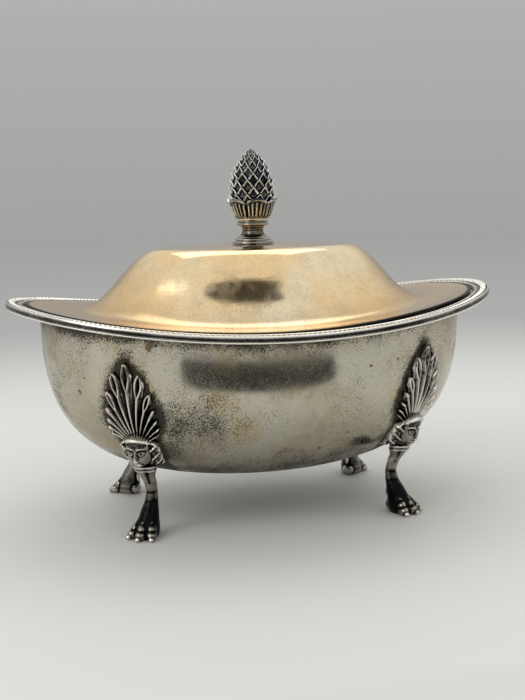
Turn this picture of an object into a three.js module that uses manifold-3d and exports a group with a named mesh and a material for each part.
// A covered oval sugar bowl in silver: a boat-shaped bowl on four cast legs, and a lift-off
// domed lid with a pine-cone finial. Millimetres, +Z up, the long axis along X, and the
// origin on the table under the middle of the bowl.
import * as THREE from 'three';
import { mergeVertices } from 'three/addons/utils/BufferGeometryUtils.js';
import Module from 'manifold-3d';

const wasm = await Module();
wasm.setup();

// Driving dimensions
const RIM_LENGTH = 160; // tip to tip over the border
const RIM_WIDTH = 108;
const RIM_LEVEL = 64; // top of the border at the middle of the long sides
const RIM_RISE = 8.2; // how much higher the border is at its two ends
const BORDER_WIDTH = 5;
const BORDER_DEPTH = 2.1; // height of the border's outer fascia
const SHELF_WIDTH = 10.5; // border edge to the outside of the bowl's wall
const WALL = 1.2; // bowl wall
const SHEET = 0.9; // lid and rim flange
const BOWL_DEPTH = 48.4; // outside, from the top edge of the wall to the bottom
const BOWL_POWER = 2.75; // superellipse power of the bowl's upright section
const SEAM = 0.3; // solder and seating gaps
const DOME_HEIGHT = 23.3; // lid crown above the border level
const DOME_RATIO = 0.65; // width over length of the lid
const FINIAL_HEIGHT = 30.3; // lid crown to the tip of the cone
const LEG_ANGLE = THREE.MathUtils.degToRad(47.8); // ellipse angle of the four legs
const LEG_TURN = THREE.MathUtils.degToRad(53); // which way a leg's toes point, from the long axis
const JOINT_LEVEL = 22.8; // where a leg is soldered to its mask
const SIDES = 48; // facets round the oval pieces
const ROUND_SIDES = 24; // facets round the finial

// Worked out from the driving dimensions
const HALF_LENGTH = RIM_LENGTH / 2;
const HALF_WIDTH = RIM_WIDTH / 2;
const OVAL_STEP = HALF_LENGTH - HALF_WIDTH; // long minus short half-axis round the rim
const SHELF_TOP = -(SHEET + 0.5); // below the border's top, where the lid's edge rests
const WALL_TOP = SHELF_TOP - SHEET - SEAM;
const BOWL_LONG = HALF_LENGTH - SHELF_WIDTH;
const BOWL_SHORT = HALF_WIDTH - SHELF_WIDTH;
const CROWN = RIM_LEVEL + DOME_HEIGHT;

const SILVER = { color: 0xa8a296, roughness: 0.28, metalness: 1 };
const GOLDEN_SILVER = { color: 0xb09c78, roughness: 0.25, metalness: 1 };
const CAST_SILVER = { color: 0x8f8a82, roughness: 0.38, metalness: 1 };
const DARK_SILVER = { color: 0x6a655d, roughness: 0.45, metalness: 1 };

const sugarBowl = new THREE.Group();
const bowlGroup = new THREE.Group();
const lidGroup = new THREE.Group();
sugarBowl.add(bowlGroup, lidGroup);

function addPiece(group, name, geometry, look) {
  const mesh = new THREE.Mesh(geometry, new THREE.MeshStandardMaterial(look));
  mesh.name = name;
  group.add(mesh);
  return mesh;
}

// How much the rim's curve lifts a point at this distance along the long axis
function rimLift(x) {
  return RIM_RISE * (x / HALF_LENGTH) ** 2;
}

// Points and triangles as one closed geometry
function geometryFrom(points, triangles) {
  const geometry = new THREE.BufferGeometry();
  geometry.setAttribute('position', new THREE.Float32BufferAttribute(points, 3));
  geometry.setIndex(triangles);
  return geometry;
}

// A stack of rings, each a list of points, joined ring to ring. The stack is closed by a
// middle point at each end, or by joining the last ring to the first.
function stackRings(rings, joinEnds) {
  const count = rings[0].length;
  const points = rings.flat().flatMap((point) => [point.x, point.y, point.z]);
  const triangles = [];
  const pairs = joinEnds ? rings.length : rings.length - 1;
  for (let ring = 0; ring < pairs; ring += 1) {
    const low = ring * count;
    const high = ((ring + 1) % rings.length) * count;
    for (let i = 0; i < count; i += 1) {
      const next = (i + 1) % count;
      triangles.push(low + i, low + next, high + next, low + i, high + next, high + i);
    }
  }
  if (!joinEnds) {
    capRing(points, triangles, rings[0], 0, true);
    capRing(points, triangles, rings.at(-1), (rings.length - 1) * count, false);
  }
  return geometryFrom(points, triangles);
}

function capRing(points, triangles, ring, first, facesDown) {
  const middle = new THREE.Vector3();
  ring.forEach((point) => middle.add(point));
  middle.divideScalar(ring.length);
  const hub = points.length / 3;
  points.push(middle.x, middle.y, middle.z);
  for (let i = 0; i < ring.length; i += 1) {
    const a = first + i;
    const b = first + ((i + 1) % ring.length);
    triangles.push(hub, facesDown ? b : a, facesDown ? a : b);
  }
}

// One oval ring. lift is the share of the rim's curve that the ring follows.
function ovalRing({ long, short, height, lift }) {
  const ring = [];
  for (let i = 0; i < SIDES; i += 1) {
    const angle = (i / SIDES) * 2 * Math.PI;
    const x = long * Math.cos(angle);
    const z = RIM_LEVEL + height + lift * rimLift(x);
    ring.push(new THREE.Vector3(x, short * Math.sin(angle), z));
  }
  return ring;
}

// A ring-shaped piece whose section follows the whole curve of the rim. The section's
// points are [half-length, height], anticlockwise.
function rimPiece(section) {
  const rings = section.map(([long, height]) => (
    ovalRing({ long, short: long - OVAL_STEP, height, lift: 1 })
  ));
  return stackRings(rings, true);
}

function toSolid(geometry) {
  const bare = new THREE.BufferGeometry();
  bare.setAttribute('position', geometry.getAttribute('position').clone());
  if (geometry.index) bare.setIndex(geometry.index.clone());
  const merged = mergeVertices(bare);
  return new wasm.Manifold(new wasm.Mesh({
    numProp: 3,
    vertProperties: new Float32Array(merged.attributes.position.array),
    triVerts: new Uint32Array(merged.index.array),
  }));
}

function toGeometry(solid) {
  const mesh = solid.getMesh();
  return geometryFrom(Array.from(mesh.vertProperties), Array.from(mesh.triVerts));
}

// A box that covers everything between two levels
function slabBetween(low, high) {
  const box = new THREE.BoxGeometry(3 * RIM_LENGTH, 3 * RIM_LENGTH, high - low);
  box.translate(0, 0, (low + high) / 2);
  return toSolid(box);
}

// Bowl: a superellipse in section, shrinking evenly in plan from the rim to the bottom.
// depthShare is 0 at the top edge and 1 at the bottom; extra grows the outside evenly.
function bowlRing(depthShare, extra) {
  const spread = (1 - depthShare ** BOWL_POWER) ** (1 / BOWL_POWER);
  return {
    long: (BOWL_LONG + extra) * spread,
    short: (BOWL_SHORT + extra) * spread,
    height: WALL_TOP - (BOWL_DEPTH + extra) * depthShare,
    lift: (1 - depthShare) ** 2,
  };
}

function bowlRings(extra, steps) {
  const rings = [];
  for (let i = 1; i <= steps; i += 1) {
    const turn = (i / steps) * (Math.PI / 2);
    rings.push(ovalRing(bowlRing(Math.cos(turn) ** (2 / BOWL_POWER), extra)));
  }
  return rings;
}

function makeBowl() {
  const outside = bowlRings(0, 9);
  const inside = bowlRings(-WALL, 9).reverse();
  return stackRings([...outside, ...inside], false);
}

// The bowl's outside as a filled solid, grown by one seam, for fitting the castings to it
function makeBowlForm() {
  return toSolid(stackRings(bowlRings(SEAM, 9), false));
}

// The flange is soldered along the top of the wall and carries the border and the lid
function makeRimFlange() {
  const inner = BOWL_LONG - WALL;
  const outer = HALF_LENGTH - 1.2;
  const low = SHELF_TOP - SHEET;
  return rimPiece([[inner, low], [outer, low], [outer, SHELF_TOP], [inner, SHELF_TOP]]);
}

// Border moulding: fascia outside, rounded edge, leaf band, cavetto and a raised inner lip
function makeRimBorder() {
  const seat = SHELF_TOP + SEAM;
  const inner = HALF_LENGTH - BORDER_WIDTH;
  const cheek = HALF_LENGTH - 0.9;
  return rimPiece([
    [inner, seat],
    [cheek, seat],
    [cheek, -BORDER_DEPTH - 0.2],
    [HALF_LENGTH, -BORDER_DEPTH],
    [HALF_LENGTH, -0.35],
    [HALF_LENGTH - 0.4, 0],
    [HALF_LENGTH - 2.9, 0.1],
    [HALF_LENGTH - 3.6, -0.25],
    [HALF_LENGTH - 4.1, 0.3],
    [inner, 0.3],
  ]);
}

// Outside of the lid from the stud hole to its edge, as half-length and height
function lidOutline(holeRadius) {
  const path = new THREE.Path();
  path.moveTo(holeRadius, DOME_HEIGHT);
  path.quadraticCurveTo(20, DOME_HEIGHT, 32.5, DOME_HEIGHT - 0.7);
  path.quadraticCurveTo(37, DOME_HEIGHT - 1.4, 39.5, 18.4);
  path.lineTo(48.2, 7);
  path.quadraticCurveTo(52.8, 1, 57, 0.3);
  path.lineTo(HALF_LENGTH - BORDER_WIDTH - 0.7, SHELF_TOP + SEAM + SHEET);
  return path.getPoints(3);
}

// The outline moved square to itself by the thickness, downwards
function thicken(outline, thickness) {
  return outline.map((point, i) => {
    const before = outline[Math.max(i - 1, 0)];
    const after = outline[Math.min(i + 1, outline.length - 1)];
    const along = after.clone().sub(before).normalize();
    return new THREE.Vector2(point.x + along.y * thickness, point.y - along.x * thickness);
  });
}

// The lid is round at its crown, for the finial, and oval from there to its edge. Its edge
// follows the rim's curve and its top does not.
function lidRing(point) {
  const ovalShare = THREE.MathUtils.smoothstep(point.x, 8, 26);
  const ratio = THREE.MathUtils.lerp(1, DOME_RATIO, ovalShare);
  const lift = THREE.MathUtils.smoothstep(point.x, 36, 56);
  return ovalRing({ long: point.x, short: point.x * ratio, height: point.y, lift });
}

function makeLidShell(holeRadius) {
  const outline = lidOutline(holeRadius);
  const under = thicken(outline, SHEET);
  under[0].x = holeRadius;
  under.at(-1).x = outline.at(-1).x;
  const rings = [...under, ...outline.reverse()].map(lidRing);
  return stackRings(rings, true);
}

// A plain band under the lid that drops inside the bowl's wall and keeps the lid central
function makeLidBezel() {
  const outer = BOWL_LONG - WALL - 0.7;
  const inner = outer - 1.1;
  const high = SHELF_TOP;
  const low = high - 4.5;
  return rimPiece([[inner, low], [outer, low], [outer, high], [inner, high]]);
}

// A turned piece round the upright axis from [radius, height] points, anticlockwise
function turned(profile, sides) {
  const geometry = new THREE.LatheGeometry(profile.map(([r, z]) => new THREE.Vector2(r, z)), sides);
  geometry.rotateX(Math.PI / 2);
  return geometry;
}

// Finial: a stud runs from the cone down through the cup, the stem, the foot plate and the
// lid to a nut. Heights are above the lid's crown.
const STUD_RADIUS = 1;
const STUD_HOLE = STUD_RADIUS + SEAM;
const FOOT_PLATE = { radius: 7.5, low: SEAM, high: SEAM + 0.5 };
const STEM = { low: FOOT_PLATE.high + SEAM, high: 7.4, foot: 6.3, waist: 3.4, collar: 5.2 };
const CUP = { low: STEM.high + SEAM, high: 14.6, foot: 5.1, mouth: 8.2 };
const CONE = { low: 9.6, widest: 15.5, radius: 7.3, foot: 4.4 };

// Half-width of the cone at a height: a swelling foot, then a pointed egg
function coneRadius(height) {
  if (height < CONE.widest) {
    const share = (CONE.widest - height) / (CONE.widest - CONE.low);
    return CONE.radius - (CONE.radius - CONE.foot) * share ** 2;
  }
  const share = (height - CONE.widest) / (FINIAL_HEIGHT - CONE.widest);
  return CONE.radius * (1 - share ** 2.1) ** 0.75;
}

function makeFinialCone() {
  const boreTop = CONE.low + 5;
  const profile = [[0, boreTop], [STUD_HOLE, boreTop], [STUD_HOLE, CONE.low]];
  const steps = 9;
  for (let i = 0; i < steps; i += 1) {
    const height = THREE.MathUtils.lerp(CONE.low, FINIAL_HEIGHT, i / steps);
    profile.push([coneRadius(height), height]);
  }
  profile.push([0, FINIAL_HEIGHT]);
  return turned(profile, ROUND_SIDES);
}

function makeLeafCup() {
  const floor = CONE.low - SEAM;
  const profile = [[STUD_HOLE, CUP.low], [CUP.foot, CUP.low]];
  const steps = 4;
  for (let i = 1; i <= steps; i += 1) {
    const share = i / steps;
    const radius = THREE.MathUtils.lerp(CUP.foot, CUP.mouth, share ** 0.8);
    profile.push([radius, THREE.MathUtils.lerp(CUP.low, CUP.high, share)]);
  }
  for (let i = steps; i >= 0; i -= 1) {
    const height = THREE.MathUtils.lerp(floor, CUP.high, i / steps);
    profile.push([coneRadius(Math.max(height, CONE.low)) + SEAM, height]);
  }
  profile.push([STUD_HOLE, floor], [STUD_HOLE, CUP.low]);
  return turned(profile, ROUND_SIDES);
}

function makeStem() {
  const { low, high, foot, waist, collar } = STEM;
  const profile = [
    [STUD_HOLE, low],
    [foot, low],
    [foot, low + 0.6],
    [foot - 1, low + 0.9],
    [waist + 0.4, low + 2.2],
    [waist, low + 3.4],
    [waist + 0.5, high - 2],
    [collar, high - 1.6],
    [collar, high],
    [STUD_HOLE, high],
    [STUD_HOLE, low],
  ];
  return turned(profile, ROUND_SIDES);
}

function makeDisc(low, high, radius, sides) {
  const profile = [[STUD_HOLE, low], [radius, low], [radius, high], [STUD_HOLE, high], [STUD_HOLE, low]];
  return turned(profile, sides);
}

function makeStud(low, high) {
  const stud = new THREE.CylinderGeometry(STUD_RADIUS, STUD_RADIUS, high - low, 16);
  stud.rotateX(Math.PI / 2);
  stud.translate(0, 0, (low + high) / 2);
  return stud;
}

// Leg castings. Each leg stands in an upright plane through its point on the wall line:
// along is the distance outwards from that line, across is to the side.
const LEG_FOOT = new THREE.Vector2(BOWL_LONG * Math.cos(LEG_ANGLE), BOWL_SHORT * Math.sin(LEG_ANGLE));
const LEG_OUTWARDS = new THREE.Vector2(Math.cos(LEG_TURN), Math.sin(LEG_TURN));

function legFrame(signX, signY) {
  const turn = Math.atan2(signY * LEG_OUTWARDS.y, signX * LEG_OUTWARDS.x);
  return new THREE.Matrix4().makeRotationZ(turn).setPosition(signX * LEG_FOOT.x, signY * LEG_FOOT.y, 0);
}

// Ellipse angle at which a leg's plane cuts a ring of the bowl. The plane's line meets the
// ring where a quadratic in the distance along it is zero.
function legAngleOn({ long, short }) {
  const a = (LEG_OUTWARDS.x / long) ** 2 + (LEG_OUTWARDS.y / short) ** 2;
  const b = (LEG_FOOT.x * LEG_OUTWARDS.x) / long ** 2 + (LEG_FOOT.y * LEG_OUTWARDS.y) / short ** 2;
  const c = (LEG_FOOT.x / long) ** 2 + (LEG_FOOT.y / short) ** 2 - 1;
  const along = (-b + Math.sqrt(b * b - a * c)) / a;
  const point = LEG_FOOT.clone().addScaledVector(LEG_OUTWARDS, along);
  return Math.atan2(point.y / short, point.x / long);
}

// Palmette and mask: half-width of the casting from its top (0) to the chin (1)
const PLAQUE = { top: -9.4, bottom: -42.5, half: 8.5, maskHalf: 5.9, chinHalf: 4.4 };

function plaqueHalfWidth(share) {
  const shoulder = 0.55;
  if (share < shoulder) {
    return PLAQUE.half * Math.sin((Math.PI / 2) * Math.max(share / shoulder, 0.02) ** 0.8);
  }
  const waist = THREE.MathUtils.smoothstep(share, shoulder, 0.7);
  const chin = THREE.MathUtils.smoothstep(share, 0.82, 1);
  const toMask = THREE.MathUtils.lerp(PLAQUE.half, PLAQUE.maskHalf, waist);
  return THREE.MathUtils.lerp(toMask, PLAQUE.chinHalf, chin);
}

// How far the casting stands off the bowl: fanned ribs above, a domed mask below
function plaqueRelief(side, share) {
  const edge = 1 - Math.abs(side) ** 3;
  const ribs = 0.35 * Math.cos(side * 4 * Math.PI) * edge;
  const mask = THREE.MathUtils.smoothstep(share, 0.58, 0.7);
  const leafHeight = 1 + 0.5 * edge + ribs;
  const maskHeight = 1.1 + 2.9 * Math.sqrt(edge);
  return THREE.MathUtils.lerp(leafHeight, maskHeight, mask);
}

// A point standing off the bowl's outside, at an ellipse angle and a level below the rim
function bowlPoint(angle, height, standOff) {
  const ring = bowlRing((WALL_TOP - height) / BOWL_DEPTH, 0);
  const x = ring.long * Math.cos(angle);
  const y = ring.short * Math.sin(angle);
  const point = new THREE.Vector3(x, y, RIM_LEVEL + height + ring.lift * rimLift(x));
  const depthShare = (WALL_TOP - height) / BOWL_DEPTH;
  const spread = ring.long / BOWL_LONG;
  const outwards = new THREE.Vector3(
    (Math.cos(angle) / BOWL_LONG) * spread ** (BOWL_POWER - 1),
    (Math.sin(angle) / BOWL_SHORT) * spread ** (BOWL_POWER - 1),
    -(depthShare ** (BOWL_POWER - 1)) / BOWL_DEPTH,
  );
  return point.addScaledVector(outwards.normalize(), standOff);
}

function plaquePoint(signX, signY, side, share, standOff) {
  const height = THREE.MathUtils.lerp(PLAQUE.top, PLAQUE.bottom, share);
  const ring = bowlRing((WALL_TOP - height) / BOWL_DEPTH, 0);
  const middle = legAngleOn(ring);
  const speed = Math.hypot(ring.long * Math.sin(middle), ring.short * Math.cos(middle));
  const angle = middle + (side * plaqueHalfWidth(share)) / speed;
  const point = bowlPoint(angle, height, standOff);
  return new THREE.Vector3(signX * point.x, signY * point.y, point.z);
}

// Each row of the casting is a loop: across its face, then back through the bowl's wall
function makePlaque(signX, signY, bowlForm) {
  const rows = 14;
  const columns = 10;
  const rings = [];
  for (let row = 0; row <= rows; row += 1) {
    const share = row / rows;
    const face = [];
    const back = [];
    for (let column = 0; column <= columns; column += 1) {
      const side = (2 * column) / columns - 1;
      face.push(plaquePoint(signX, signY, side, share, plaqueRelief(side, share)));
      back.push(plaquePoint(signX, signY, side, share, -0.5));
    }
    const ring = [...face, ...back.reverse()];
    rings.push(signX * signY > 0 ? ring : ring.reverse());
  }
  const casting = toSolid(stackRings(rings.reverse(), false));
  const belowJoint = slabBetween(0, JOINT_LEVEL + SEAM / 2);
  return toGeometry(casting.subtract(bowlForm).subtract(belowJoint));
}

// Collar, shank and paw, as [height, along, half-depth, half-width]
const LEG_SECTIONS = [
  [0, -8.2, 4.9, 4.1],
  [2.5, -8.2, 5.4, 4.5],
  [5, -8.9, 4.7, 4.2],
  [7.8, -10.6, 3.2, 3.1],
  [10.5, -12.1, 2.2, 2.2],
  [13.5, -12.7, 1.8, 1.8],
  [16.5, -11.8, 1.9, 2],
  [19, -10.2, 2.7, 2.9],
  [19.8, -9.4, 4, 4.1],
  [21.8, -8.8, 4.1, 4.2],
  [JOINT_LEVEL - SEAM / 2, -8.6, 3.6, 3.9],
];

function legRing([height, along, halfDepth, halfWidth]) {
  const sides = 14;
  const ring = [];
  for (let i = 0; i < sides; i += 1) {
    const angle = (i / sides) * 2 * Math.PI;
    const x = along + halfDepth * Math.cos(angle);
    ring.push(new THREE.Vector3(x, halfWidth * Math.sin(angle), height));
  }
  return ring;
}

function makeToe(across, along, radius) {
  const toe = new THREE.SphereGeometry(1, 10, 7);
  toe.scale(2.9, radius, 2.4);
  toe.translate(along, across, 1.6);
  return toSolid(toe);
}

function makeLeg(signX, signY, bowlForm) {
  const shank = toSolid(stackRings(LEG_SECTIONS.map(legRing), false));
  const middleToe = makeToe(0, -4.6, 1.9);
  const sideToes = [-3.1, 3.1].map((across) => makeToe(across, -5.6, 1.8));
  const paw = sideToes.reduce((sum, toe) => sum.add(toe), shank.add(middleToe));
  const placed = toSolid(toGeometry(paw).applyMatrix4(legFrame(signX, signY)));
  return toGeometry(placed.subtract(slabBetween(-10, 0)).subtract(bowlForm));
}

// Bowl body and its fittings
const bowlForm = makeBowlForm();
addPiece(bowlGroup, 'bowl_body', makeBowl(), SILVER);
addPiece(bowlGroup, 'rim_flange', makeRimFlange(), SILVER);
addPiece(bowlGroup, 'rim_border', makeRimBorder(), CAST_SILVER);
const corners = [['front_left', -1, -1], ['front_right', 1, -1], ['back_right', 1, 1], ['back_left', -1, 1]];
for (const [corner, signX, signY] of corners) {
  addPiece(bowlGroup, `palmette_${corner}`, makePlaque(signX, signY, bowlForm), DARK_SILVER);
  addPiece(bowlGroup, `leg_${corner}`, makeLeg(signX, signY, bowlForm), CAST_SILVER);
}

// Lid and its fittings
addPiece(lidGroup, 'lid_shell', makeLidShell(STUD_HOLE), GOLDEN_SILVER);
addPiece(lidGroup, 'lid_bezel', makeLidBezel(), SILVER);
const finial = new THREE.Group();
finial.position.z = CROWN;
lidGroup.add(finial);
addPiece(finial, 'finial_cone', makeFinialCone(), DARK_SILVER);
addPiece(finial, 'finial_leaf_cup', makeLeafCup(), CAST_SILVER);
addPiece(finial, 'finial_stem', makeStem(), SILVER);
const footPlate = makeDisc(FOOT_PLATE.low, FOOT_PLATE.high, FOOT_PLATE.radius, ROUND_SIDES);
addPiece(finial, 'finial_foot_plate', footPlate, SILVER);
const washerTop = -SHEET - SEAM;
const nutTop = washerTop - 0.8 - SEAM;
const nutBottom = nutTop - 2.4;
addPiece(finial, 'finial_washer', makeDisc(washerTop - 0.8, washerTop, 4, ROUND_SIDES), SILVER);
addPiece(finial, 'finial_nut', makeDisc(nutBottom, nutTop, 3, 6), CAST_SILVER);
addPiece(finial, 'finial_stud', makeStud(nutBottom - 0.8, CONE.low + 4.6), CAST_SILVER);

export default sugarBowl;
